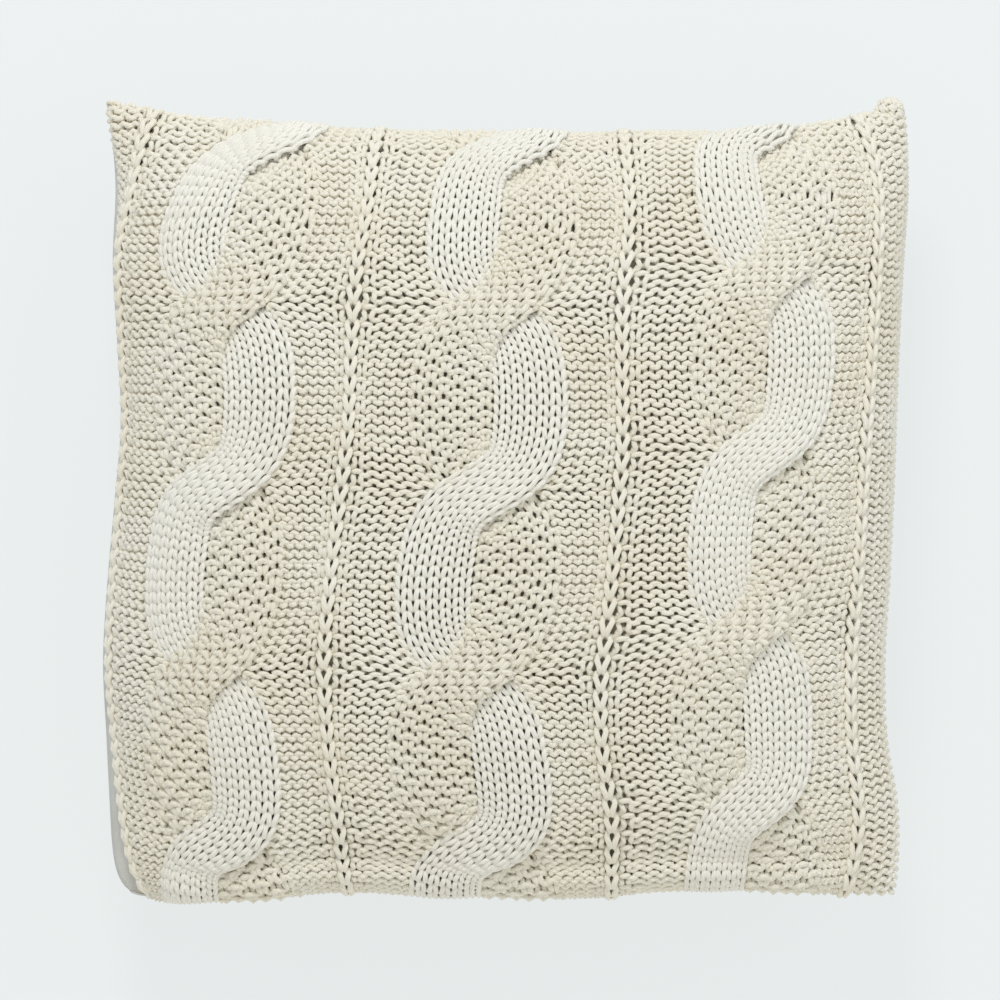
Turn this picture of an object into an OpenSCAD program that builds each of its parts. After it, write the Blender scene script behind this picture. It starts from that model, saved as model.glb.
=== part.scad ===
// Square throw pillow: a cable-knit front panel and a plain woven back panel round a stuffed
// inner cushion, closed by a concealed zip along the lower edge.
// It lies on its back. +Z comes up out of the front, +Y goes to the upper edge, +X to the right.
// The origin is under the middle of the whole pillow, at its resting face. Millimetres.

/* [Pillow] */
// distance between the left and right edges
pillow_w = 450; // [420:2:500]
// distance from the lower edge to the tips of the upper corners
pillow_h = 450; // [420:2:500]
// thickness at the crown
pillow_t = 150; // [130:2:170]
// how far the upper edge sags below its corners
top_dip = 15; // [4:1:22]
// how far the lower edge pulls in between its corners
bottom_dip = 3; // [1:0.5:4]
// how far each side edge pulls in between its corners
side_dip = 3; // [1:0.5:6]
// fullness of the sides, a larger number gives a boxier cushion
fullness = 3; // [2.6:0.1:3.4]

/* [Knit front] */
// thickness of the knitted panel
knit_t = 5; // [4:0.5:5]
// height of the cable strands over their ground
cable_rise = 3.5; // [0:0.5:5]
// distance between two crossings of one cable
cross_pitch = 107; // [90:1:130]
// how far a strand swings to each side of its cable
strand_swing = 19; // [12:1:26]
// distance between neighbouring cables
cable_pitch = 155; // [140:1:158]
// radius of the gathered knob on the upper right corner
knob_r = 8; // [6:0.5:8.5]
// radius of the gathered tip on the upper left corner
tip_r = 4.5; // [3:0.5:5]

/* [Back] */
// thickness of the woven back panel
woven_t = 1.5; // [1:0.1:2]
// swelling of the back before it is pressed flat underneath, a larger number rests on a wider patch
back_swell = 1.06; // [1.03:0.01:1.1]

/* [Inner cushion] */
// gap between the cover and the inner cushion at the crown
insert_gap = 0.6; // [0.5:0.1:1.2]
// thickness of the inner cushion's cotton
insert_cloth = 0.8; // [0.6:0.1:1]

/* [Zip] */
// length of the zip's tapes
tape_len = 350; // [300:5:350]
// width of one tape
tape_w = 11.5; // [9:0.5:12]
// thickness of one tape
tape_t = 0.5; // [0.4:0.1:0.6]
// radius of one row of coil
coil_r = 0.95; // [0.8:0.05:1]
// half the gap between the two rows of coil
coil_half_gap = 0.65; // [0.6:0.05:0.7]
// length of the slider's body
slider_len = 11.5; // [10:0.5:13]
// width of the slider's body
slider_w = 8.4; // [8:0.1:9]
// reach of the pull tab from its pivot
pull_len = 22; // [16:1:26]
// half the height of the slot between the lips of the cover
slot_half = 5; // [5:0.1:6]

/* [Hidden] */

half_t = pillow_t / 2;
mid_z = half_t;
// the right knob stands this much above the corner tips, so the panels sit half of it lower
knob_rise = knob_r;
mid_y = -knob_rise / 2;
half_w = pillow_w / 2;
half_h = pillow_h / 2;
// the corners are rounded by these shares of the half size
round_low = 0.035;
round_right = 0.045;
round_left = 0.030;

// the zip's chain: its middle lies this far in from the lower edge
chain_in = 12.6;
chain_y = mid_y - half_h + chain_in;
chain_end = tape_len / 2 - 12;
slider_x = chain_end - slider_len / 2 - 0.4;
pivot_y = chain_y - 3.1;

knit = [0.93, 0.90, 0.80];
woven = [0.88, 0.88, 0.85];
cotton = [0.95, 0.95, 0.93];
zip_cloth = [0.90, 0.88, 0.80];
zip_plastic = [0.92, 0.90, 0.83];
zip_metal = [0.78, 0.78, 0.80];

// ---- form of the cushion -------------------------------------------------------------

// grid lines, closer together towards the edges; s runs from -1 to 1
function spread(s) = 0.3 * s + 0.7 * sin(90 * s);
function fall(s) = sqrt(max(0, 1 - pow(abs(s), fullness)));
function step(a, b, x) = let (k = min(1, max(0, (x - a) / (b - a)))) k * k * (3 - 2 * k);

// place of a grid point in plan, e in from every edge and eb in from the lower one
function plan(u, v, e, eb) =
    let (hx = half_w - e - side_dip * (1 - v * v),
         hy = v > 0 ? half_h - e - top_dip * (1 - pow(abs(u), 3))
                    : half_h - eb - bottom_dip * (1 - pow(u, 4)),
         r = v < 0 ? round_low : (u > 0 ? round_right : round_left),
         c = 1 - r * pow(abs(u * v), 9))
    [u * hx * c, v * hy * c + mid_y];

// half the opening between front and back at a grid point, wide only along the zip
function lip(u, v) =
    0.3 + (slot_half - 0.3) * (1 - step(0.84, 0.95, abs(u))) * step(0.9, 0.975, -v);

// swelling of the three cables, two strands each, at a point in plan
function ridge(d) = exp(-pow(d / 15, 2));
function cable(x, y, k) =
    let (a = 180 * (y - 12 * k) / cross_pitch + 40, s = strand_swing * sin(a))
    max(ridge(x - cable_pitch * k + 6 - s), ridge(x - cable_pitch * k + 6 + s));
function cables(x, y) = max([for (k = [-1:1]) cable(x, y, k)]);

// one face of a cushion form: side 1 is the front, side -1 the back
function face(nu, nv, e, eb, t, side, low, rise) = [
    for (j = [0:nv]) for (i = [0:nu])
        let (u = spread(2 * i / nu - 1), v = spread(2 * j / nv - 1),
             p = plan(u, v, e, eb), f = fall(u) * fall(v), g = lip(u, v))
        [p.x, p.y, side > 0
            ? mid_z + g + t * f + (rise > 0 ? rise * cables(p.x, p.y) * min(1, 2.5 * f * f) : 0)
            : max(low, mid_z - g - back_swell * t * f)]];

function up(nu, nv, b) = [for (j = [0:nv - 1]) for (i = [0:nu - 1])
    let (a = b + j * (nu + 1) + i) each [[a, a + nu + 2, a + 1], [a, a + nu + 1, a + nu + 2]]];
function down(nu, nv, b) = [for (t = up(nu, nv, b)) [t[0], t[2], t[1]]];
function loop(nu, nv, b) = concat(
    [for (i = [0:nu - 1]) b + i], [for (j = [0:nv - 1]) b + j * (nu + 1) + nu],
    [for (i = [nu:-1:1]) b + nv * (nu + 1) + i], [for (j = [nv:-1:1]) b + j * (nu + 1)]);
function strip(a, b) = [for (k = [0:len(a) - 1]) let (n = (k + 1) % len(a))
    each [[a[k], a[n], b[n]], [a[k], b[n], b[k]]]];

// a skin with an outer and an inner face, e and t of each given as [outer, inner]
module skin(n, e, eb, t, side, low, rise) {
    m = (n[0] + 1) * (n[1] + 1);
    outer = face(n[0], n[1], e[0], eb[0], t[0], side, low[0], rise);
    inner = face(n[0], n[1], e[1], eb[1], t[1], side, low[1], 0);
    lo = loop(n[0], n[1], 0);
    li = loop(n[0], n[1], m);
    polyhedron(concat(outer, inner), side > 0
        ? concat(up(n[0], n[1], 0), down(n[0], n[1], m), strip(lo, li))
        : concat(down(n[0], n[1], 0), up(n[0], n[1], m), strip(li, lo)), convexity = 6);
}

// a rod bent along an edge of the cushion form, e in from it, at half the pillow's thickness
function edge_path(e, cut) = concat(
    cut > 0 ? [for (i = [0:2]) plan(cut + (1 - cut) * i / 3, -1, e, e)]
            : [for (i = [0:15]) plan(-1 + i / 8, -1, e, e)],
    [for (i = [0:15]) plan(1, -1 + i / 8, e, e)],
    [for (i = [0:15]) plan(1 - i / 8, 1, e, e)],
    [for (i = [0:15]) plan(-1, 1 - i / 8, e, e)],
    cut > 0 ? [for (i = [0:3]) plan(-1 + (1 - cut) * i / 3, -1, e, e)] : []);

module bent_rod(path, r, closed, sides = 8) {
    n = len(path);
    pts = [for (k = [0:n - 1])
        let (a = path[closed ? (k + n - 1) % n : max(0, k - 1)],
             b = path[closed ? (k + 1) % n : min(n - 1, k + 1)],
             d = (b - a) / norm(b - a), q = [d.y, -d.x])
        for (s = [0:sides - 1]) let (w = 360 * s / sides)
            [path[k].x + r * cos(w) * q.x, path[k].y + r * cos(w) * q.y, mid_z + r * sin(w)]];
    wall = [for (k = [0:closed ? n - 1 : n - 2]) for (s = [0:sides - 1])
        let (k2 = (k + 1) % n, s2 = (s + 1) % sides,
             a = k * sides + s, b = k * sides + s2, c = k2 * sides + s2, d = k2 * sides + s)
        each [[a, b, c], [a, c, d]]];
    caps = closed ? [] : [[for (s = [sides - 1:-1:0]) s],
        [for (s = [0:sides - 1]) (n - 1) * sides + s]];
    polyhedron(pts, concat(wall, caps), convexity = 6);
}

// ---- cover ---------------------------------------------------------------------------

module front_panel()
    color(knit) skin([46, 36], [0, knit_t], [0, knit_t], [half_t - cable_rise, half_t - knit_t
        - cable_rise], 1, [0, 0], cable_rise);

module back_panel()
    color(woven) skin([24, 24], [0, knit_t], [0, knit_t], [half_t, half_t - woven_t],
        -1, [0, woven_t], 0);

// linked seam that joins front and back along the sides and the upper edge
module edge_seam() color(knit) bent_rod(edge_path(knit_t + 2.3, 0.87), 1, false);

// surplus knit gathered and drawn tight at the upper corners
module corner_knob_right() knob(plan(1, 1, 0, 0), half_w, knob_r);
module corner_tip_left() knob(plan(-1, 1, 0, 0), -half_w, tip_r);

// a ball that just clears a corner of the panels and reaches out to x
module knob(corner, x, r) {
    dx = x - sign(x) * r - corner.x;
    dy = sqrt(max(0, pow(r + 0.3, 2) - dx * dx));
    color(knit) translate([corner.x + dx, corner.y + dy, mid_z]) sphere(r = r, $fn = 24);
}

// ---- inner cushion -------------------------------------------------------------------

front_in = half_t - knit_t - cable_rise - insert_gap;
back_in = half_t - woven_t - insert_gap;
in_e = knit_t + 5;
in_eb = knit_t + 10.5;

module insert_front()
    color(cotton) skin([24, 24], [in_e, in_e + insert_cloth], [in_eb, in_eb + insert_cloth],
        [front_in, front_in - insert_cloth], 1, [0, 0], 0);

module insert_back()
    color(cotton) skin([24, 24], [in_e, in_e + insert_cloth], [in_eb, in_eb + insert_cloth],
        [back_in, back_in - insert_cloth], -1,
        [woven_t + insert_gap, woven_t + insert_gap + insert_cloth], 0);

// row of stitching that closes the inner cushion round its edge
module insert_seam() color(cotton) bent_rod(insert_path, 0.5, true, 6);
insert_path = [for (k = [0:63]) let (s = (k % 16) / 8 - 1, q = floor(k / 16))
    plan(q == 0 ? s : q == 1 ? 1 : q == 2 ? -s : -1, q == 0 ? -1 : q == 1 ? s : q == 2 ? 1 : -s,
        in_e - 0.9, in_eb - 0.9)];

module insert_filling() {
    n = 24;
    m = (n + 1) * (n + 1);
    e = in_e + insert_cloth + 0.5;
    eb = in_eb + insert_cloth + 0.5;
    low = woven_t + insert_gap + insert_cloth + 0.5;
    color([0.97, 0.97, 0.97]) polyhedron(
        concat(face(n, n, e, eb, front_in - insert_cloth - 0.5, 1, 0, 0),
            face(n, n, e, eb, back_in - insert_cloth - 0.5, -1, low, 0)),
        concat(up(n, n, 0), down(n, n, m), strip(loop(n, n, 0), loop(n, n, m))), convexity = 4);
}

// ---- zip -----------------------------------------------------------------------------

// a block given by its lowest corner and its highest one
module block(a, b) translate(a) cube(b - a);

module tape(side) color(zip_cloth) {
    z0 = side > 0 ? coil_half_gap : -coil_half_gap - tape_w;
    block([-tape_len / 2, chain_y + coil_r + 0.1, mid_z + z0],
        [tape_len / 2, chain_y + coil_r + 0.1 + tape_t, mid_z + z0 + tape_w]);
}
module zip_tape_front() tape(1);
module zip_tape_back() tape(-1);

module coil(side) color(zip_plastic)
    translate([-chain_end, chain_y, mid_z + side * (coil_half_gap + coil_r)])
        rotate([0, 90, 0]) cylinder(r = coil_r, h = 2 * chain_end, $fn = 24);
module zip_coil_front() coil(1);
module zip_coil_back() coil(-1);

// line of stitching that holds a tape to its lip of the cover
module thread(side) color(cotton)
    translate([-tape_len / 2 + 2, chain_y + coil_r - 0.35, mid_z + side * 8.5])
        rotate([0, 90, 0]) cylinder(r = 0.35, h = tape_len - 4, $fn = 16);
module zip_thread_front() thread(1);
module zip_thread_back() thread(-1);

module top_stop(side) color(zip_metal) {
    a = side > 0 ? 0.45 : -coil_half_gap - 2 * coil_r - 0.2;
    block([chain_end + 0.2, chain_y - coil_r - 0.3, mid_z + a],
        [chain_end + 2.2, chain_y + coil_r, mid_z + a + 2 * coil_r + coil_half_gap - 0.25]);
}
module zip_top_stop_front() top_stop(1);
module zip_top_stop_back() top_stop(-1);

module zip_bottom_stop() color(zip_metal)
    block([-chain_end - 2.4, chain_y - coil_r - 0.3, mid_z - 2 * coil_r - coil_half_gap - 0.2],
        [-chain_end - 0.2, chain_y + coil_r, mid_z + 2 * coil_r + coil_half_gap + 0.2]);

plate_out = chain_y - coil_r - 0.25;
plate_in = chain_y + coil_r + tape_t + 0.4;

// two plates held apart by a thin web that runs between the rows of coil
module zip_slider() color(zip_metal) translate([slider_x, 0, mid_z]) {
    h = slider_w / 2;
    l = slider_len / 2;
    union() {
        for (y = [plate_out - 1, plate_in]) slider_plate(y, y == plate_in ? 0.8 : 1);
        block([-1.5, plate_out - 0.5, -0.42], [1.5, plate_in + 0.4, 0.42]);
        for (s = [-1, 1])
            block([-l + 1.2, plate_out - 0.5, s > 0 ? h - 0.8 : -h],
                [l - 2.6, chain_y + coil_r - 0.2, s > 0 ? h : -h + 0.8]);
        slider_bridge();
    }
}

module slider_plate(y, t) {
    h = slider_w / 2;
    l = slider_len / 2;
    translate([0, y + t, 0]) rotate([90, 0, 0]) linear_extrude(t)
        polygon([[-l, -h + 1], [-l + 1, -h], [l - 2.5, -h], [l, -h + 1.6],
            [l, h - 1.6], [l - 2.5, h], [-l + 1, h], [-l, h - 1]]);
}

// arch over the outer plate, with room under it for the bar of the pull tab
module slider_bridge() {
    y = plate_out - 1;
    difference() {
        block([-3.2, y - 2.6, -0.8], [3.2, y + 0.4, 0.8]);
        block([-2.3, y - 1.7, -1], [2.3, y, 1]);
    }
}

// flat tab with a window at its root, whose bar runs under the slider's arch
module zip_pull() color(zip_metal) translate([slider_x, pivot_y, mid_z]) {
    union() {
        cylinder(r = 0.6, h = 4.6, center = true, $fn = 24);
        for (s = [-1, 1]) block([-5, -0.6, s > 0 ? 1.3 : -2.3], [0, 0.6, s > 0 ? 2.3 : -1.3]);
        difference() {
            rotate([90, 0, 0]) translate([0, 0, -0.6]) linear_extrude(1.2)
                polygon([[-4.3, -2.3], [-pull_len + 3, -3.2], [-pull_len, -1.6],
                    [-pull_len, 1.6], [-pull_len + 3, 3.2], [-4.3, 2.3]]);
            translate([-pull_len + 3.8, 0, 0]) rotate([90, 0, 0])
                cylinder(r = 1.3, h = 3, center = true, $fn = 24);
        }
    }
}

// blank care label, sewn in beside the zip and lying against the inner cushion
module care_label() color(cotton)
    block([-100, plate_in + 1.05, mid_z - 10], [-72, plate_in + 1.45, mid_z + 10]);

front_panel();
back_panel();
edge_seam();
corner_knob_right();
corner_tip_left();
insert_front();
insert_back();
insert_seam();
insert_filling();
zip_tape_front();
zip_tape_back();
zip_coil_front();
zip_coil_back();
zip_thread_front();
zip_thread_back();
zip_top_stop_front();
zip_top_stop_back();
zip_bottom_stop();
zip_slider();
zip_pull();
care_label();
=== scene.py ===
"""Throw pillow: a cable-knit front and a woven back over a stuffed inner cushion, with a zip.

The knitted front is modelled in yarn, looped stitch by stitch over the cushion's form.
Lengths are in metres unless a name ends in _MM. Columns are counted from the left side seam,
rows from the lower edge.
"""

import math

import bpy
import numpy as np
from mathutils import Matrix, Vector


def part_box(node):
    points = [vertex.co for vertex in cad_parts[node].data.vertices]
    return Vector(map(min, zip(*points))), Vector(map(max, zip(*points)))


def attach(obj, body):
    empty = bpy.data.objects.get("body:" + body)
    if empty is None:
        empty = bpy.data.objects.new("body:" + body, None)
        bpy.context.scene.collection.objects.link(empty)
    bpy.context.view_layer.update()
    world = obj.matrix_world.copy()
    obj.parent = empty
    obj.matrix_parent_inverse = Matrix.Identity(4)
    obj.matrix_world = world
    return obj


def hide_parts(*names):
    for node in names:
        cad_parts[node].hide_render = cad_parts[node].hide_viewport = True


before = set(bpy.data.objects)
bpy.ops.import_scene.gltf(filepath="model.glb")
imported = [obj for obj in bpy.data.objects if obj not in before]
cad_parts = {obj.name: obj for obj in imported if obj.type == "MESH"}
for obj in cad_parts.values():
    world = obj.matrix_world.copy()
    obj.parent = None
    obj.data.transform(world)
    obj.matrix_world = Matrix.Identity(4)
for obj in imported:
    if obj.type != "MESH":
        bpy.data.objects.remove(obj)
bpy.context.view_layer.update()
rng = np.random.default_rng(11)
scene = bpy.context.scene


def box(node):
    """Lowest and highest corner of a CAD node."""
    return tuple(np.array(c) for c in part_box(node))


# ---- form of the cushion ---------------------------------------------------------------

front_lo, front_hi = box("front_panel")
MID_Z = float(front_lo[2])
HALF = 0.225
# how far the stitches stand out of the form, and how far it swells from the seam on either face
RELIEF = 0.008
CROWN = float(front_hi[2]) - MID_Z - RELIEF
CROWN_BACK = 0.0795
# the lowest that cloth lies, just clear of the floor
REST_Z = 0.0006

# where the outline runs, at even shares of the way from lower to upper edge or left to right
LEFT_MM = (-222, -223, -225, -227, -224.5, -220.5, -217, -219, -221.5, -220, -224)
RIGHT_MM = (219, 219.5, 213, 212, 214.8, 216.8, 218.4, 220, 222.3, 225, 224)
LOW_MM = (-225.5, -224, -221.7, -217.8, -220.1, -220.5, -221.3, -217.7, -216.7, -219, -221)
HIGH_MM = (224, 215, 211, 207.5, 206, 205, 205, 206, 205.5, 211.5, 221)
# how far each rib wanders sideways at these shares of the way up
BOW_AT = (0, 0.1, 0.25, 0.4, 0.55, 0.7, 0.85, 1)
BOW_MM = ((-14, -9, -6, -5, -5.5, -6, -5.5, 8), (-18, -18, -17, -16, -13, -9, -5, 0),
          (-2, -6, -10, -8, -6, -6, -2, 3), (-4, -7, -9, -9, -8, -5, -2, 0))
# the back cloth comes round over the left side: the share of it that folds, and how far in and up
# the seam lies there
FOLD = 0.035
TURNED_MM = (14, 9.5, 7, 5, 4.6, 4.6, 4.6, 4.6, 4.8, 4.5, 0)
RAISED_MM = (0, 6, 5, 4, 4, 4, 4, 4, 4, 3, 0)
# openings of the two lips along the zip, from the middle plane to the panel's own surface
LIP_FRONT, LIP_BACK = 0.0085, 0.0056
# how far the lower left corner is drawn in, and how tightly round the corner that stays
CORNER_IN, CORNER_UP, CORNER_TIGHT = 0.010, 0.005, 18
# heights of crown and places across in the table of even lengths
HEIGHTS, PLACES = 32, 200


def through(knots, values, x):
    """A smooth curve through the values."""
    k, v = np.asarray(knots, float), np.asarray(values, float)
    m = np.gradient(v, k)
    i = np.clip(np.searchsorted(k, x) - 1, 0, len(k) - 2)
    h = k[i + 1] - k[i]
    t = (x - k[i]) / h
    return (v[i] * (2 * t**3 - 3 * t**2 + 1) + h * m[i] * (t**3 - 2 * t**2 + t)
            + v[i + 1] * (3 * t**2 - 2 * t**3) + h * m[i + 1] * (t**3 - t**2))


def even(values, x):
    """The same through values given at even steps, in mm."""
    return through(np.linspace(0, 1, len(values)), values, x) / 1000


def ease(x):
    x = np.clip(x, 0, 1)
    return x * x * (3 - 2 * x)


def bell(x, width):
    return np.exp(-(x / width) ** 2)


def swell(u):
    return np.sqrt(np.clip(1 - np.abs(u) ** 3, 0, 1))


def shares(rows, columns):
    """Share of the way up and across at each point of a grid with so many cells."""
    return np.meshgrid(np.linspace(0, 1, rows + 1), np.linspace(0, 1, columns + 1), indexing="ij")


def mix(g, a, b):
    """Grid g of points read between them at shares a across and b up."""
    nb, na = g.shape[0] - 1, g.shape[1] - 1
    a, b = np.clip(a, 0, 1) * na, np.clip(b, 0, 1) * nb
    i, j = np.minimum(b.astype(int), nb - 1), np.minimum(a.astype(int), na - 1)
    s, t = (a - j)[..., None], (b - i)[..., None]
    return ((g[i, j] * (1 - s) + g[i, j + 1] * s) * (1 - t)
            + (g[i + 1, j] * (1 - s) + g[i + 1, j + 1] * s) * t)


def mix_values(g, a, b):
    """The same for a grid of single values."""
    return mix(g[..., None], a, b)[..., 0]


def even_lengths(crown):
    """Table of the place across the form, -1 to 1, for even lengths of cloth, at each height of crown."""
    u = np.sin(np.linspace(-math.pi / 2, math.pi / 2, 2 * PLACES + 1))
    table = []
    for height in np.linspace(0, 1, HEIGHTS + 1):
        step = np.hypot(np.diff(u * HALF), np.diff(crown * height * swell(u)))
        s = np.concatenate([[0], np.cumsum(step)])
        table.append(np.interp(np.linspace(0, 1, PLACES + 1), s / s[-1], u))
    return np.array(table)


def form(n, crown, side, lip=0.0, inset=0.0, inset_low=0.0):
    """Grid of n by n cells over one face of the cushion, indexed [up, across]. Side is 1 or -1."""
    b, a = shares(n, n)
    table = even_lengths(crown)
    u, v = 2 * a - 1, 2 * b - 1
    # the back folds over on the left before it meets the knit
    fold = FOLD if side < 0 and not inset else 0
    along = np.clip((a - fold) / (1 - fold), 0, 1)
    for _ in range(4):
        u, v = mix_values(table, along, swell(v)), mix_values(table, b, swell(u))
    if side > 0 and not inset:
        bows = np.array([through(BOW_AT, k, b[:, 0]) for k in BOW_MM]) / 1000
        knots = np.array([0] + [(c + 0.5) / COLUMNS for c in RIBS] + [1])
        for row in range(n + 1):
            shift = np.concatenate([[0], bows[:, row], [0]])
            u[row] = np.clip(u[row] + through(knots, shift, a[row]) / HALF, -1, 1)
    s, t = (u + 1) / 2, (v + 1) / 2
    x = even(LEFT_MM, t) * (1 - s) + even(RIGHT_MM, t) * s - inset * u
    y = even(LOW_MM, s) * (1 - t) + even(HIGH_MM, s) * t - inset * v + inset_low * (1 - t)
    corner = np.where((u < 0) & (v < 0), np.abs(u * v) ** CORNER_TIGHT, 0)
    x, y = x + CORNER_IN * corner, y + CORNER_UP * corner
    opening = ease((0.92 - np.abs(u)) / 0.11) * ease((-v - 0.9) / 0.075)
    z = MID_Z + side * (crown * swell(u) * swell(v) + lip * opening)
    x = x + even(TURNED_MM, t) * ease(1 - a / (fold or 0.18))
    z = z + even(RAISED_MM, t) * ease(1 - a / (fold or 0.06)) * (inset == 0)
    return np.stack([x, y, np.maximum(z, REST_Z)], -1)


class Surface:
    """A face of the cushion that can be read at any share across, a, and up, b."""

    def __init__(self, grid):
        self.p = grid
        da, db = np.gradient(grid, axis=1), np.gradient(grid, axis=0)
        n = np.cross(da, db)
        for _ in range(2):
            n = n / np.maximum(np.linalg.norm(n, axis=2, keepdims=True), 1e-12)
            pad = np.pad(n, ((1, 1), (1, 1), (0, 0)), mode="edge")
            n = n * 2 + pad[:-2, 1:-1] + pad[2:, 1:-1] + pad[1:-1, :-2] + pad[1:-1, 2:]
        self.n = n / np.linalg.norm(n, axis=2, keepdims=True)

    def read(self, a, b):
        n = mix(self.n, a, b)
        return mix(self.p, a, b), n / np.linalg.norm(n, axis=-1, keepdims=True)


def numbered(rows, columns):
    """Point numbers of a grid with so many cells."""
    return np.arange((rows + 1) * (columns + 1)).reshape(rows + 1, columns + 1)


def border(i):
    """Numbers along the rim of a numbered grid, anticlockwise from the lower left corner."""
    return np.concatenate([i[0, :-1], i[:-1, -1], i[-1, :0:-1], i[:0:-1, 0]])


def closed(i):
    """Faces of a numbered grid, of its copy beneath with the numbers after it, and of the rim between."""
    face = np.stack([i[:-1, :-1], i[:-1, 1:], i[1:, 1:], i[1:, :-1]], -1).reshape(-1, 4)
    rim = border(i)
    following = np.roll(rim, -1)
    wall = np.stack([rim, rim + i.size, following + i.size, following], -1)
    return np.concatenate([face, face[:, ::-1] + i.size, wall])


# ---- stitch plan -----------------------------------------------------------------------

ROWS = 94
# left edge 3, rib, then three times: flank 1, purl 4, cable 12, purl 4, flank 1, rib; right edge 4
LAYOUT = "ppp" + "r" + "fppppccccccccccccppppfr" * 3 + "pppp"
COLUMNS = len(LAYOUT)
RIBS = [i for i, k in enumerate(LAYOUT) if k == "r"]
CABLES = [r + 6 for r in RIBS[:-1]]
STRAND_WIDE = 6
CABLE_WIDE = 2 * STRAND_WIDE
# rows at which each cable's strands cross, and the usual number between two crossings
CROSSINGS = ((9.7, 29.7, 49.7, 69.7, 88.2),) * 2 + ((13.7, 33.7, 53.7, 73.7, 91.5),)
BETWEEN = 20
WAVE = 2 * math.pi / BETWEEN
# columns from the middle of a cable's twelve to its own middle line, from the lower edge up
OFFSETS = ((0.45,) * 5,) * 2 + ((2.3, 1.7, 1.6, 1.4, 0.5),)
# width of a column and height of a row, the yarn's radius, and how deep a loop bends
WALE, COURSE = 0.00675, 0.00545
YARN = 0.00162
DEPTH = 0.0018
# columns from the cable's middle to a strand's middle where they lie side by side
SWING = 3.35
# rows by which a strand's stitches run ahead or behind between crossings, as they climb less at one
LAG = 0.62
# rows that a crossing takes, with the smooth strand in front and with the seed one
QUICK_TURN, SLOW_TURN = 3.5, 4.6
# rows from a crossing over which its strands draw together, and their columns' width there in wales
DRAWN, DRAWN_WALE = 4.5, 0.88


def kinds():
    """1 for a knit stitch and -1 for a purl one, for each row and column."""
    k = np.ones((ROWS + 2, COLUMNS))
    row = np.arange(ROWS + 2)
    for c, what in enumerate(LAYOUT):
        if what == "p":
            k[:, c] = -1
        elif what == "f":
            k[:, c] = np.where(row % 2 == 0, 1, -1)
    return k


KIND = kinds()
PLAIN_KNIT = np.ones((ROWS + 2, STRAND_WIDE))
SEED = np.where(np.add.outer(np.arange(ROWS + 2), np.arange(STRAND_WIDE)) % 2 == 0, 0.55, -1.15)
# stitches of a strand: their kind, head's width, height, closeness of legs, depth, share of the yarn's
# radius, and the columns' width in wales
SMOOTH_STRAND = (PLAIN_KNIT, 0.19, 0.71, 0.0, DEPTH, 1.0, 1.04)
SEED_STRAND = (SEED, 0.18, 0.63, 0.05, 0.0021, 1.16, 1.17)


def since_crossing(row, m):
    """Rows from the nearest crossing of cable m, and whether the smooth strand is in front there."""
    at = np.array(CROSSINGS[m])
    n = np.searchsorted((at[1:] + at[:-1]) / 2, row)
    return row - at[n], n % 2 == 0


def across(values, place):
    """Per-stitch values [row, column] read along the rows, eased from each stitch to its neighbour."""
    n = values.shape[1]
    i = np.clip(np.floor(place).astype(int), 0, n - 1)
    f = place - i
    right, left = np.minimum(i + 1, n - 1), np.maximum(i - 1, 0)
    v, r, l = values[:, i], values[:, right], values[:, left]
    return v + (r - v) * 0.5 * ease((f - 0.8) / 0.2) + (l - v) * 0.5 * ease((0.2 - f) / 0.2)


def course(row, m, smooth):
    """Where one strand of cable m runs at a row. Returns the rows since its crossing, whether it is in
    front there, its middle line's place across from the cable's middle and up, the direction it heads
    in, and the spacing of its columns, in metres.
    """
    since, smooth_ahead = since_crossing(row, m)
    ahead = smooth_ahead == smooth
    turn = np.where(smooth_ahead, QUICK_TURN, SLOW_TURN)
    way = np.where(ahead, 1, -1)
    x = SWING * way * np.tanh(since / turn) / np.tanh(BETWEEN / 2 / turn) * WALE
    dx = SWING * way / turn / np.cosh(since / turn) ** 2 * WALE
    lean = squared(row)
    y = (row - LAG * lean * np.sin(WAVE * since)) * COURSE
    dy = (1 - LAG * WAVE * np.cos(WAVE * since)) * COURSE
    full = (SMOOTH_STRAND if smooth else SEED_STRAND)[-1]
    spacing = (full - (full - DRAWN_WALE) * bell(since, DRAWN)) * WALE
    pack = spacing * (np.hypot(dx, dy) / dy) ** (1 - lean)
    return since, ahead, x, y, dx * lean, dy, pack


def squared(row):
    """Falls to 0 at the lower and the upper rim, where the strands end square to the seam."""
    rows = 5
    return ease(row / rows) * ease((ROWS - row) / rows)


def middle_line(m, row):
    """Place of cable m's middle line, in columns from the left."""
    knots = np.linspace(0, ROWS, len(OFFSETS[m]))
    return CABLES[m] + CABLE_WIDE / 2 + through(knots, OFFSETS[m], row)


def stitches(kind, wide, tall, close=0.0, steps=12):
    """Loops of a run of stitches in every row: place across in stitches, rise in rows, depth, run.

    Wide spreads a loop's head, tall is its height in rows, close draws a knit loop's legs together.
    """
    n = wide.shape[1]
    t = np.linspace(0, 2 * math.pi * n, n * steps + 1)
    run = t / (2 * math.pi)
    legs, head = across(kind[:ROWS], run), across(kind[1:ROWS + 1], run)
    up = -np.cos(t)
    turn = ease((up - 0.1) / 0.6)
    depth = -np.cos(2 * t) * (legs * (1 - turn) + head * turn)
    place = run + across(wide, run) * np.sin(2 * t) + close * legs * np.sin(t)
    return place, across(tall, run) * up, depth, run


def vary(rows, cols, amount):
    return 1 + amount * rng.standard_normal((rows, cols))


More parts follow.
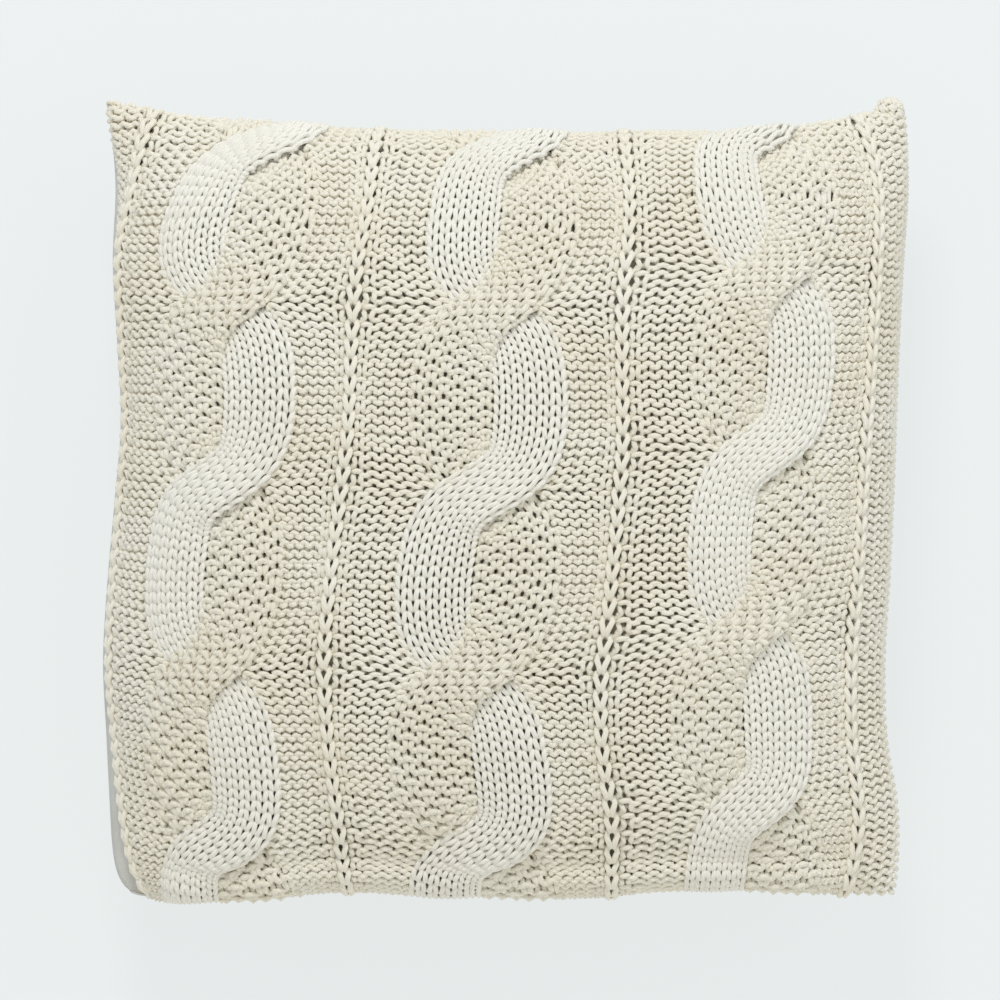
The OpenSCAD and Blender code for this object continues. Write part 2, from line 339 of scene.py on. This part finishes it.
def tube(points, normals, radius, sides=6):
    """Yarn along each row of points [row, point, xyz]: vertices, faces, and lengths for the twist."""
    t = np.gradient(points, axis=1)
    t /= np.maximum(np.linalg.norm(t, axis=2, keepdims=True), 1e-12)
    side = np.cross(t, normals)
    side /= np.maximum(np.linalg.norm(side, axis=2, keepdims=True), 1e-12)
    top = np.cross(side, t)
    ang = np.arange(sides) * 2 * math.pi / sides
    ring = (np.cos(ang)[:, None] * top[:, :, None, :] + np.sin(ang)[:, None] * side[:, :, None, :])
    r = radius if np.isscalar(radius) else radius[:, :, None, None]
    verts = (points[:, :, None, :] + r * ring).reshape(-1, 3)
    rows, n = points.shape[:2]
    idx = np.arange(rows * n * sides).reshape(rows, n, sides)
    a, b = idx[:, :-1], idx[:, 1:]
    quads = np.stack([a, np.roll(a, -1, 2), np.roll(b, -1, 2), b], -1).reshape(-1, 4)
    caps = np.concatenate([idx[:, 0, ::-1], idx[:, -1]])
    step = np.linalg.norm(np.diff(points, axis=1), axis=2)
    run = np.concatenate([np.zeros((rows, 1)), np.cumsum(step, 1)], 1)
    along = np.stack([run[:, :-1], run[:, :-1], run[:, 1:], run[:, 1:]], -1)
    along = np.repeat(along[:, :, None, :], sides, 2).reshape(-1, 4)
    k = np.arange(sides)
    turn = np.stack([k, k + 1, k + 1, k], -1) / sides
    turn = np.broadcast_to(turn, (rows, n - 1, sides, 4)).reshape(-1, 4)
    return verts, quads, caps, np.stack([along, turn], -1)


def add_mesh(name, verts, faces, mat, uv=None, uv_name="yarn"):
    """A mesh object from vertex rows and a list of face arrays, each with its own number of corners."""
    me = bpy.data.meshes.new(name)
    loops = np.concatenate([f.ravel() for f in faces]).astype(np.int32)
    totals = np.concatenate([np.full(len(f), f.shape[1], np.int32) for f in faces])
    starts = np.concatenate([[0], np.cumsum(totals)[:-1]]).astype(np.int32)
    me.vertices.add(len(verts))
    me.vertices.foreach_set("co", np.asarray(verts, np.float32).ravel())
    me.loops.add(len(loops))
    me.loops.foreach_set("vertex_index", loops)
    me.polygons.add(len(totals))
    me.polygons.foreach_set("loop_start", starts)
    me.polygons.foreach_set("loop_total", totals)
    me.polygons.foreach_set("use_smooth", np.ones(len(totals), bool))
    me.update(calc_edges=True)
    if uv is not None:
        full = np.zeros((len(loops), 2), np.float32)
        full[:len(uv)] = uv
        me.uv_layers.new(name=uv_name).data.foreach_set("uv", full.ravel())
    me.materials.append(mat)
    ob = bpy.data.objects.new(name, me)
    scene.collection.objects.link(ob)
    return ob


def yarn_piece(name, rows, mat):
    """One mesh of yarn from rows of points, their normals and the yarn's radius."""
    verts, quads, caps, uv = tube(*rows)
    return add_mesh(name, verts, [quads, caps], mat, uv.reshape(-1, 2))


def rim_fade(a, b):
    """Fades the relief out towards the seams."""
    return ease(np.minimum(np.minimum(a, 1 - a) / 0.03, np.minimum(b, 1 - b) / 0.035))


def strand(front, m, smooth):
    """Yarn of the smooth or the seed strand of cable m."""
    kind, wide, tall, close, deep, fat, _ = SMOOTH_STRAND if smooth else SEED_STRAND
    half = STRAND_WIDE // 2
    place, rise, depth, _ = stitches(kind, wide * vary(ROWS, STRAND_WIDE, 0.06),
                                     tall * vary(ROWS, STRAND_WIDE, 0.03), close)
    row = np.arange(ROWS)[:, None] + 0.5 + rise
    since, ahead, x, y, dx, dy, pack = course(row, m, smooth)
    near = bell(since, DRAWN)
    size = np.hypot(dx, dy)
    beside = place - half
    x = x + dy / size * beside * pack
    y = y - dx / size * beside * pack
    a = (middle_line(m, row) + x / WALE) / COLUMNS
    b = y / COURSE / ROWS
    dome = 0.0002 + 0.0030 * (1 - (beside / 3.2) ** 2)
    # the strand in front rises towards its right side, and the one behind dips under it
    over = near * (0.0032 + 0.0030 * beside / half - 0.0022 * ease((beside - 2.1) / 0.9))
    under = -0.0028 * bell(since, 4) - 0.0010 * bell(since + 2.5, 2.5)
    p, n = front.read(a, b)
    out = depth * deep + (dome + np.where(ahead, over, under)) * rim_fade(a, b)
    return p + n * out[..., None], n, YARN * (1 - 0.05 * near) * fat


def ground(front, c0, c1):
    """Yarn of the plain columns c0 to c1, which lie between cables or at the sides."""
    n = c1 - c0
    wide = 0.18 * vary(ROWS, n, 0.08)
    tall = 0.74 * vary(ROWS, n, 0.05)
    back = np.zeros((ROWS, n))
    fat = vary(ROWS, n, 0.03)
    slipped = np.arange(ROWS) % 2 == 1
    for r in RIBS:
        if c0 <= r < c1:
            tall[:, r - c0] = np.where(slipped, 0.05, 1.3)
            wide[:, r - c0] = np.where(slipped, 0.02, 0.27)
            back[:, r - c0] = np.where(slipped, -0.0034, 0.0016)
            fat[:, r - c0] = np.where(slipped, 1, 1.1)
    place, rise, depth, run = stitches(KIND[:, c0:c1], wide, tall)
    sag = across(0.05 * rng.standard_normal((ROWS, n)), run)
    depth = depth * DEPTH + across(back, run)
    col = c0 + place
    row = np.arange(ROWS)[:, None] + 0.5 + rise + sag
    lift, shift = np.zeros_like(col), np.zeros_like(col)
    for m, start in enumerate(CABLES):
        since = since_crossing(row, m)[0]
        near = bell(since, 3.4)
        # the plain columns reach just under the cable's side, which moves as its strands cross
        for edge, way in ((start, 1), (start + CABLE_WIDE, -1)):
            from_edge = (edge - col) * way
            if -0.6 <= np.median(from_edge) <= 9:
                share = np.clip(1 - from_edge / 5.3, 0, 1.1)
                sides = []
                for smooth in (True, False):
                    _, _, x, _, dx, dy, pack = course(row, m, smooth)
                    sides.append(x * way - STRAND_WIDE // 2 * pack * np.hypot(dx, dy) / dy)
                tuck = 0.9 - 0.6 * squared(row) + 0.5 * near
                side = middle_line(m, row) * way + np.minimum(*sides) / WALE + tuck
                shift += way * (side - edge * way) * share
                row = row - 0.35 * squared(row) * np.sin(WAVE * since) * np.clip(share, 0, 1)
                lift += 0.0010 * near * share
    a, b = (col + shift) / COLUMNS, row / ROWS
    p, nrm = front.read(a, b)
    return p + nrm * (depth + lift * rim_fade(a, b))[..., None], nrm, YARN * across(fat, run)


def knob_rings(node, outward, around, polar, radius):
    """Rings of stitches drawn together over a corner's ball, at polar angles from its outer pole. The
    first ring is plain yarn, pulled tight.
    """
    lo, hi = box(node)
    centre, ball = (lo + hi) / 2, (hi - lo)[0] / 2 * 1.15
    axis = np.array(Vector(outward).normalized())
    e1 = np.array(Vector(axis).orthogonal().normalized())
    e2 = np.cross(axis, e1)
    t = np.linspace(0, 2 * math.pi * around, around * 12 + 1)
    points = []
    for k, theta in enumerate(np.radians(polar)):
        loops = 0.0 if k == 0 else 1.0
        phi = (t / around + loops * 0.9 / around * np.sin(2 * t) + 0.5 * k)[:, None]
        th = (theta - loops * 0.19 * np.cos(t))[:, None]
        r = (ball - radius - loops * 0.0007 * (1 - np.cos(2 * t)))[:, None]
        outwards = np.cos(phi) * e1 + np.sin(phi) * e2
        points.append(centre + r * (np.cos(th) * axis + np.sin(th) * outwards))
    points = np.array(points)
    normals = points - centre
    return points, normals / np.linalg.norm(normals, axis=2, keepdims=True), radius


# ---- cloth, stitches and coils ---------------------------------------------------------

def skin(name, outer, inner, mat, side):
    """Closed skin between an outer and an inner grid. Side is 1 on the front and -1 on the back."""
    n = outer.shape[0] - 1
    faces = closed(numbered(n, n))[:, ::side]
    b, a = shares(n, n)
    uv = np.tile(np.stack([a, b], -1).reshape(-1, 2) * 2.4 * HALF, (2, 1))[faces.ravel()]
    verts = np.concatenate([outer.reshape(-1, 3), inner.reshape(-1, 3)])
    return add_mesh(name, verts, [faces], mat, uv, "cloth")


def band(name, profile, mat):
    """Closed strip from a profile [place along, point, xyz], whose points go round its section."""
    n, m = profile.shape[:2]
    idx = np.arange(n * m).reshape(n, m)
    a, b = idx[:-1], idx[1:]
    sides = np.stack([a, b, np.roll(b, -1, 1), np.roll(a, -1, 1)], -1).reshape(-1, 4)
    return add_mesh(name, profile.reshape(-1, 3), [sides, np.stack([idx[0], idx[-1, ::-1]])], mat)


def put(tree, socket, source):
    """Links a socket to another one, or gives it a plain value."""
    if isinstance(source, bpy.types.NodeSocket):
        tree.links.new(source, socket)
    else:
        socket.default_value = source


def add_node(tree, kind, links, settings):
    made = tree.nodes.new(kind)
    for key, value in settings.items():
        setattr(made, key, value)
    for socket, source in dict(links).items():
        put(tree, made.inputs[socket], source)
    return made


class Tree:
    """A geometry node group under construction."""

    def __init__(self, name, sizes):
        self.group = bpy.data.node_groups.new(name, "GeometryNodeTree")
        self.group.interface.new_socket("Geometry", in_out="INPUT", socket_type="NodeSocketGeometry")
        self.group.interface.new_socket("Geometry", in_out="OUTPUT", socket_type="NodeSocketGeometry")
        for size, kind in sizes.items():
            self.group.interface.new_socket(size, in_out="INPUT", socket_type="NodeSocket" + kind)
        self.given = self.group.nodes.new("NodeGroupInput").outputs
        self.result = self.group.nodes.new("NodeGroupOutput").inputs[0]

    def add(self, kind, links=(), **settings):
        return add_node(self.group, kind, links, settings).outputs[0]

    def close(self, geometry):
        """Realizes, smooths and paints the geometry, and ends the tree."""
        real = self.add("GeometryNodeRealizeInstances", {"Geometry": geometry})
        smooth = self.add("GeometryNodeSetShadeSmooth", {"Geometry": real})
        painted = self.add("GeometryNodeSetMaterial",
                           {"Geometry": smooth, "Material": self.given["Material"]})
        self.group.links.new(painted, self.result)
        return self.group


def stitch_tree():
    """Short bent stitches at even steps along a path, X along it and Z outwards."""
    t = Tree("stitch_row", {"Spacing": "Float", "Start": "Vector", "Middle": "Vector", "End": "Vector",
                            "Thread radius": "Float", "Material": "Material"})
    path = t.add("GeometryNodeMeshToCurve", {"Mesh": t.given["Geometry"]})
    steps = t.add("GeometryNodeResampleCurve", {"Curve": path, "Length": t.given["Spacing"]},
                  mode="LENGTH")
    bend = t.add("GeometryNodeCurveQuadraticBezier", {"Resolution": 6, "Start": t.given["Start"],
                                                      "Middle": t.given["Middle"], "End": t.given["End"]})
    round_ = t.add("GeometryNodeCurvePrimitiveCircle", {"Resolution": 6, "Radius": t.given["Thread radius"]})
    stitch = t.add("GeometryNodeCurveToMesh", {"Curve": bend, "Profile Curve": round_, "Fill Caps": True})
    out = t.add("GeometryNodeInputNamedAttribute", {"Name": "out"}, data_type="FLOAT_VECTOR")
    facing = t.add("FunctionNodeAxesToRotation",
                   {"Primary Axis": t.add("GeometryNodeInputTangent"), "Secondary Axis": out},
                   primary_axis="X", secondary_axis="Z")
    return t.close(t.add("GeometryNodeInstanceOnPoints", {"Points": steps, "Instance": stitch,
                                                          "Rotation": facing}))


def coil_tree():
    """Flattened turns of filament along X."""
    t = Tree("zip_coil", {"Turns": "Float", "Radius": "Float", "Length": "Float", "Wire": "Float",
                          "Flatten": "Vector", "Start": "Vector", "Material": "Material"})
    turns = t.add("GeometryNodeCurveSpiral", {"Resolution": 8, "Rotations": t.given["Turns"],
                                              "Start Radius": t.given["Radius"],
                                              "End Radius": t.given["Radius"], "Height": t.given["Length"]})
    flat = t.add("GeometryNodeTransform", {"Geometry": turns, "Scale": t.given["Flatten"]})
    laid = t.add("GeometryNodeTransform", {"Geometry": flat, "Translation": t.given["Start"],
                                           "Rotation": (0, math.pi / 2, 0)})
    wire = t.add("GeometryNodeCurvePrimitiveCircle", {"Resolution": 5, "Radius": t.given["Wire"]})
    return t.close(t.add("GeometryNodeCurveToMesh", {"Curve": laid, "Profile Curve": wire,
                                                     "Fill Caps": True}))


def grown(name, tree, points, out, mat, **sizes):
    """Runs a tree on a path of points and keeps the result as a plain mesh."""
    me = bpy.data.meshes.new(name + "_path")
    me.from_pydata(np.asarray(points).tolist(), [(i, i + 1) for i in range(len(points) - 1)], [])
    attribute = me.attributes.new("out", "FLOAT_VECTOR", "POINT")
    directions = np.broadcast_to(out, np.shape(points)).astype(np.float32)
    attribute.data.foreach_set("vector", directions.ravel())
    path = bpy.data.objects.new(name + "_path", me)
    scene.collection.objects.link(path)
    mod = path.modifiers.new("grow", "NODES")
    mod.node_group = tree
    values = {key.replace("_", " "): value for key, value in sizes.items()}
    values["Material"] = mat
    for item in tree.interface.items_tree:
        if item.in_out == "INPUT" and item.name in values:
            mod[item.identifier] = values[item.name]
    bpy.context.view_layer.update()
    shaped = path.evaluated_get(bpy.context.evaluated_depsgraph_get())
    made = bpy.data.objects.new(name, bpy.data.meshes.new_from_object(shaped))
    scene.collection.objects.link(made)
    bpy.data.objects.remove(path)
    return made


# ---- materials -------------------------------------------------------------------------

class Finish:
    """A material under construction round its one Principled shader."""

    def __init__(self, name, roughness, **constants):
        self.mat = bpy.data.materials.new(name)
        self.mat.use_nodes = True
        self.tree = self.mat.node_tree
        self.shader = self.tree.nodes["Principled BSDF"]
        self.shader.inputs["Roughness"].default_value = roughness
        for key, value in constants.items():
            self.shader.inputs[key.replace("_", " ")].default_value = value

    def add(self, kind, links=(), output=0, **settings):
        return add_node(self.tree, kind, links, settings).outputs[output]

    def set(self, name, source):
        put(self.tree, self.shader.inputs[name], source)

    def maths(self, operation, a, b=0.0):
        return self.add("ShaderNodeMath", {0: a, 1: b}, operation=operation)

    def place(self):
        return self.add("ShaderNodeTexCoord", output="Object")

    def noise(self, scale, detail=3.0):
        return self.add("ShaderNodeTexNoise", {"Vector": self.place(), "Scale": scale, "Detail": detail})

    def blend(self, share, low, high):
        """A colour between low and high by a share from 0 to 1."""
        return self.add("ShaderNodeMix", {0: share, 6: (*low, 1), 7: (*high, 1)}, output=2,
                        data_type="RGBA")

    def spread(self, value, low, high):
        """A value from low to high, stretched to the share from 0 to 1."""
        return self.add("ShaderNodeMapRange", {0: value, 1: low, 2: high})

    def colour(self, source):
        self.set("Base Color", source)

    def bump(self, height, strength, distance):
        normal = self.add("ShaderNodeBump", {"Height": height, "Strength": strength, "Distance": distance})
        self.set("Normal", normal)


# plies in the yarn, and the length of one turn of a ply
PLIES, PLY_PITCH = 4.0, 0.0036


def plied_yarn(name, light, shade):
    """Soft cotton of four plies, two close tones drifting over the cloth and along the yarn."""
    f = Finish(name, 0.62, Specular_IOR_Level=0.3, Sheen_Weight=0.25, Sheen_Roughness=0.45)
    drift = f.spread(f.noise(20.0), 0.35, 0.65)
    fibre = f.spread(f.noise(900.0, 1.0), 0.3, 0.7)
    share = f.maths("ADD", f.maths("MULTIPLY", drift, 0.75), f.maths("MULTIPLY", fibre, 0.25))
    f.colour(f.blend(share, shade, light))
    parts = f.add("ShaderNodeSeparateXYZ", {0: f.add("ShaderNodeUVMap", uv_map="yarn")}).node
    helix = f.maths("ADD", f.maths("MULTIPLY", parts.outputs[0], 1 / PLY_PITCH),
                    f.maths("MULTIPLY", parts.outputs[1], PLIES))
    ply = f.maths("ABSOLUTE", f.maths("SINE", f.maths("MULTIPLY", helix, math.pi)))
    f.bump(ply, 0.8, 0.00024)
    return f.mat


def woven_cloth(name, light, shade, pitch, source="cloth"):
    """Plain weave, threads pitch apart, with slubs, and painted shade in the weave's hollows. Source is a UV
    map in metres or "place".
    """
    f = Finish(name, 0.85, Specular_IOR_Level=0.2, Sheen_Weight=0.15)
    at = f.place() if source == "place" else f.add("ShaderNodeUVMap", uv_map=source)
    parts = f.add("ShaderNodeSeparateXYZ", {0: at}).node
    warp = f.maths("SINE", f.maths("MULTIPLY", parts.outputs[0], 2 * math.pi / pitch))
    weft_axis = parts.outputs[2] if source == "place" else parts.outputs[1]
    weft = f.maths("SINE", f.maths("MULTIPLY", weft_axis, 2 * math.pi / pitch))
    weave_height_and_shade = f.maths("MULTIPLY", warp, weft)
    slub = f.spread(f.noise(60.0, 4.0), 0.3, 0.7)
    # A fifth of the colour follows the weave's height: painted shade, darker in the hollows between
    # crossings and lighter on them.
    f.colour(f.blend(f.maths("ADD", f.maths("MULTIPLY", slub, 0.8), f.maths("MULTIPLY", weave_height_and_shade, 0.2)),
                     shade, light))
    f.bump(weave_height_and_shade, 0.5, pitch * 0.2)
    return f.mat


def spun_thread(name, light, shade):
    f = Finish(name, 0.6, Specular_IOR_Level=0.3, Sheen_Weight=0.2)
    f.colour(f.blend(f.spread(f.noise(700.0), 0.3, 0.7), shade, light))
    f.bump(f.noise(2500.0), 0.4, 0.0001)
    return f.mat


def loose_fibre(name, light, shade):
    f = Finish(name, 0.95, Sheen_Weight=0.4)
    tuft_height_and_shade = f.noise(140.0, 6.0)
    # The colour follows the tufts' height: painted shade, darker between the tufts and lighter on them.
    f.colour(f.blend(f.spread(tuft_height_and_shade, 0.3, 0.7), shade, light))
    f.bump(tuft_height_and_shade, 0.9, 0.002)
    return f.mat


def plated_metal(name, colour, worn):
    """Bright nickel plate, fine brushing and duller worn patches."""
    f = Finish(name, 0.3, Metallic=1.0)
    patches = f.spread(f.noise(350.0, 5.0), 0.35, 0.7)
    f.colour(f.blend(patches, colour, worn))
    f.set("Roughness", f.maths("ADD", f.maths("MULTIPLY", patches, 0.2), 0.24))
    f.bump(f.noise(4000.0), 0.15, 0.00005)
    return f.mat


def filament(name, colour, dust):
    f = Finish(name, 0.38, Specular_IOR_Level=0.5)
    f.colour(f.blend(f.spread(f.noise(500.0), 0.4, 0.7), colour, dust))
    f.bump(f.noise(1800.0), 0.2, 0.00005)
    return f.mat


# The smooth strands take a lighter copy of the same cream cotton as the ground: painted light, for the
# smooth knit face that catches more of the lamps than the purl and seed stitches.
smooth_yarn_lit_copy = plied_yarn("yarn_smooth_lit_copy", (0.93, 0.905, 0.83), (0.89, 0.86, 0.77))
ground_yarn = plied_yarn("yarn_ground", (0.92, 0.885, 0.78), (0.88, 0.825, 0.69))
back_cloth = woven_cloth("woven_back", (0.72, 0.72, 0.69), (0.62, 0.62, 0.58), 0.0011)
inner_cotton = woven_cloth("inner_cotton", (0.86, 0.82, 0.70), (0.80, 0.75, 0.61), 0.0008)
facing_cloth = woven_cloth("lip_facing", (0.80, 0.76, 0.62), (0.72, 0.66, 0.50), 0.0010, "place")
tape_cloth = woven_cloth("zip_tape", (0.78, 0.75, 0.63), (0.70, 0.66, 0.52), 0.0007, "place")
label_cloth = woven_cloth("label_satin", (0.88, 0.88, 0.86), (0.82, 0.82, 0.80), 0.0004, "place")
seam_thread = spun_thread("seam_thread", (0.86, 0.81, 0.66), (0.76, 0.70, 0.53))
fibre_fill = loose_fibre("fibre_fill", (0.92, 0.92, 0.90), (0.80, 0.80, 0.78))
coil_filament = filament("coil_filament", (0.80, 0.77, 0.66), (0.70, 0.67, 0.56))
nickel = plated_metal("nickel_plate", (0.80, 0.79, 0.76), (0.62, 0.61, 0.58))


def fit(piece, node):
    """Hands a finished piece over: its body, and the CAD node it stands for."""
    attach(piece, "pillow")
    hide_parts(node)


def paint(node, mat):
    """Gives a CAD node that is shown as it is its one material."""
    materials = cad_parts[node].data.materials
    materials.clear()
    materials.append(mat)


# ---- cover -----------------------------------------------------------------------------

BACK_THICK = 0.0012

front = Surface(form(200, CROWN, 1, LIP_FRONT))
back = Surface(form(120, CROWN_BACK, -1, LIP_BACK))

for m, name in enumerate(("left", "middle", "right")):
    fit(yarn_piece("cable_%s_smooth" % name, strand(front, m, True), smooth_yarn_lit_copy),
        "front_panel")
    fit(yarn_piece("cable_%s_seed" % name, strand(front, m, False), ground_yarn),
        "front_panel")
plain = [0] + [c for s in CABLES for c in (s, s + CABLE_WIDE)] + [COLUMNS]
for k, name in enumerate(("left", "between_left", "between_right", "right")):
    fit(yarn_piece("ribs_" + name, ground(front, plain[2 * k], plain[2 * k + 1]), ground_yarn),
        "front_panel")

fit(skin("woven_back", back.p, back.p + back.n * BACK_THICK, back_cloth, -1),
    "back_panel")

knob = knob_rings("corner_knob_right", (0.7, 0.75, 0.45), 6, (12, 34, 66, 98, 130), 0.0014)
fit(yarn_piece("knob_right", knob, ground_yarn), "corner_knob_right")
tip = knob_rings("corner_tip_left", (-0.75, 0.7, 0.35), 4, (14, 55, 105, 150), 0.0012)
fit(yarn_piece("tip_left", tip, ground_yarn), "corner_tip_left")

stitch_row = stitch_tree()
# up the left side, along the top and down the right one, clear of the zip's lips below
SEAM_FROM = 6
seam_line = np.concatenate([front.p[SEAM_FROM:, 0], front.p[-1, 1:], front.p[-2:SEAM_FROM - 1:-1, -1]])
seam_out = seam_line - seam_line.mean(0)
seam_out[:, 2] = 0
overcast = grown("edge_seam_stitches", stitch_row, seam_line, seam_out, seam_thread, Spacing=0.0052,
                 Start=(-0.0012, 0.0034, -0.0022), Middle=(0.0, 0.0, 0.0030),
                 End=(0.0014, -0.0034, -0.0022), Thread_radius=0.0010)
fit(overcast, "edge_seam")

# ---- inner cushion ---------------------------------------------------------------------

# how far the inner cushion keeps from the cover's outline, and how much further along the zip
INSET, INSET_LOW = 0.010, 0.004
INNER_CELLS = 60
INNER_THICK = 0.0008
shell = form(INNER_CELLS, CROWN - 0.0066, 1, inset=INSET, inset_low=INSET_LOW)
shell_back = form(INNER_CELLS, CROWN_BACK - 0.004, -1, inset=INSET, inset_low=INSET_LOW)
shell_back[..., 2] = np.maximum(shell_back[..., 2], REST_Z + 0.002)
for name, grid, side, node in (("inner_cushion_front", shell, 1, "insert_front"),
                               ("inner_cushion_back", shell_back, -1, "insert_back")):
    cloth = Surface(grid)
    fit(skin(name, cloth.p, cloth.p - cloth.n * INNER_THICK * side, inner_cotton, side),
        node)


def lumpy(grid, side):
    """The filling's face: a little inside the cotton, uneven as loose fibre is."""
    lumps = rng.standard_normal((9, 9))
    b, a = shares(INNER_CELLS, INNER_CELLS)
    height = mix_values(lumps, a, b)
    middle = np.array([0, -0.004, MID_Z])
    inner = middle + (grid - middle) * 0.975
    clear_of_seam = np.abs(inner[..., 2] - MID_Z) > 0.004
    inner[..., 2] -= side * (0.0006 + 0.0006 * np.abs(height)) * clear_of_seam
    return inner


fit(skin("fibre_filling", lumpy(shell, 1), lumpy(shell_back, -1), fibre_fill, 1),
    "insert_filling")
rim = border(numbered(INNER_CELLS, INNER_CELLS))
insert_line = shell.reshape(-1, 3)[np.append(rim, rim[0])]
insert_out = insert_line - insert_line.mean(0)
fit(grown("inner_cushion_stitches", stitch_row, insert_line, insert_out, seam_thread, Spacing=0.0036,
          Start=(-0.0014, 0.0, -0.0002), Middle=(0.0, 0.0, 0.0010), End=(0.0014, 0.0, -0.0002),
          Thread_radius=0.0003), "insert_seam")

# ---- zip -------------------------------------------------------------------------------

WIRE = 0.00026
COIL_PITCH = 0.0013
coil_turns = coil_tree()
for name in ("front", "back"):
    side = 1 if name == "front" else -1
    lo, hi = box("zip_coil_" + name)
    middle, length = (lo + hi) / 2, hi[0] - lo[0]
    coil = grown("coil_" + name, coil_turns, [lo, hi], (0, 0, 1), coil_filament,
                 Turns=length / COIL_PITCH, Radius=(hi - lo)[1] / 2 - WIRE, Length=length, Wire=WIRE,
                 Flatten=(1.18, 0.9, 1.0),
                 Start=(lo[0], middle[1], middle[2] - side * 0.00005))
    fit(coil, "zip_coil_" + name)
    lo, hi = box("zip_thread_" + name)
    middle = (lo + hi) / 2
    line = np.linspace((lo[0], middle[1], middle[2]), (hi[0], middle[1], middle[2]), 20)
    thread = grown("zip_stitches_" + name, stitch_row, line, (0, -1, 0), seam_thread, Spacing=0.0034,
                   Start=(-0.0013, 0.0, -0.0003), Middle=(0.0, 0.0, 0.0009), End=(0.0013, 0.0, -0.0003),
                   Thread_radius=0.0003)
    fit(thread, "zip_thread_" + name)
    paint("zip_tape_" + name, tape_cloth)

for name in ("zip_top_stop_front", "zip_top_stop_back", "zip_bottom_stop", "zip_slider", "zip_pull"):
    paint(name, nickel)

tape_lo, tape_hi = box("zip_tape_front")


def facing(name, side, back_from_rim, surface):
    """Hem of the panel turned in along the zip, from its rim to the tape."""
    thick = 0.0007
    along = np.linspace(0.04, 0.96, 80)
    edge, _ = surface.read(along, np.zeros_like(along))
    outer = np.maximum(np.abs(edge[:, 2] - MID_Z) - back_from_rim, 0.0009)
    near, far = edge[:, 1] + 0.0004, np.maximum(edge[:, 1] + 0.0012, tape_lo[1] - 0.0003)
    ring = [(near, outer), (far, outer), (far, outer - thick), (near, outer - thick)][::side]
    profile = [np.stack([edge[:, 0], y, MID_Z + side * z], -1) for y, z in ring]
    return band(name, np.stack(profile, 1), facing_cloth)


fit(facing("lip_facing_front", 1, 0.0034, front), "front_panel")
fit(facing("lip_facing_back", -1, 0.0004, back), "back_panel")


def label():
    """Blank care label, a soft leaf of satin hanging beside the zip."""
    lo, hi = box("care_label")
    rows, columns = 10, 14
    v, u = shares(rows, columns)
    curl = 0.00012 * np.sin(u * 5) * np.sin(v * math.pi)
    y = (lo[1] + hi[1]) / 2 + curl
    leaf = np.stack([lo[0] + (hi - lo)[0] * u, y, lo[2] + (hi - lo)[2] * v], -1)
    half_thick = np.array([0, 0.00012, 0])
    verts = np.concatenate([(leaf - half_thick).reshape(-1, 3), (leaf + half_thick).reshape(-1, 3)])
    piece = add_mesh("care_label_leaf", verts, [closed(numbered(rows, columns))], label_cloth)
    fit(piece, "care_label")


label()

# ---- stage -----------------------------------------------------------------------------

def studio_floor():
    bpy.ops.mesh.primitive_plane_add(size=8)
    floor = bpy.context.object
    floor.name = "floor"
    f = Finish("floor", 0.95, Specular_IOR_Level=0.0, Base_Color=(0.20, 0.21, 0.21, 1),
               Emission_Color=(0.95, 0.985, 0.985, 1), Emission_Strength=0.69)
    floor.data.materials.append(f.mat)


def lamp(name, place, size, power, colour):
    """Soft square light that faces the middle of the floor."""
    data = bpy.data.lights.new(name, "AREA")
    data.size, data.energy, data.color = size, power, colour
    ob = bpy.data.objects.new(name, data)
    ob.location = place
    ob.rotation_euler = Vector(place).to_track_quat("Z", "Y").to_euler()
    scene.collection.objects.link(ob)


studio_floor()
world = bpy.data.worlds.new("studio")
scene.world = world
world.use_nodes = True
sky = world.node_tree.nodes["Background"].inputs
sky["Color"].default_value = (0.95, 0.98, 1.0, 1)
sky["Strength"].default_value = 0.66
lamp("key", (-0.25, 1.6, 1.6), 0.6, 16, (1.0, 0.99, 0.96))
lamp("fill", (1.4, 0.3, 1.4), 1.4, 4, (0.90, 0.95, 1.0))
lamp("bounce", (0.1, -1.5, 0.9), 1.2, 2.5, (1.0, 0.82, 0.40))
scene.view_settings.view_transform = "Standard"

CAMERA_AWAY = 2.4
cam = bpy.data.cameras.new("camera")
cam.lens, cam.sensor_width = 153, 36
camera = bpy.data.objects.new("camera", cam)
camera.location = (-0.0028, 0.0, MID_Z + CAMERA_AWAY)
scene.collection.objects.link(camera)
scene.camera = camera
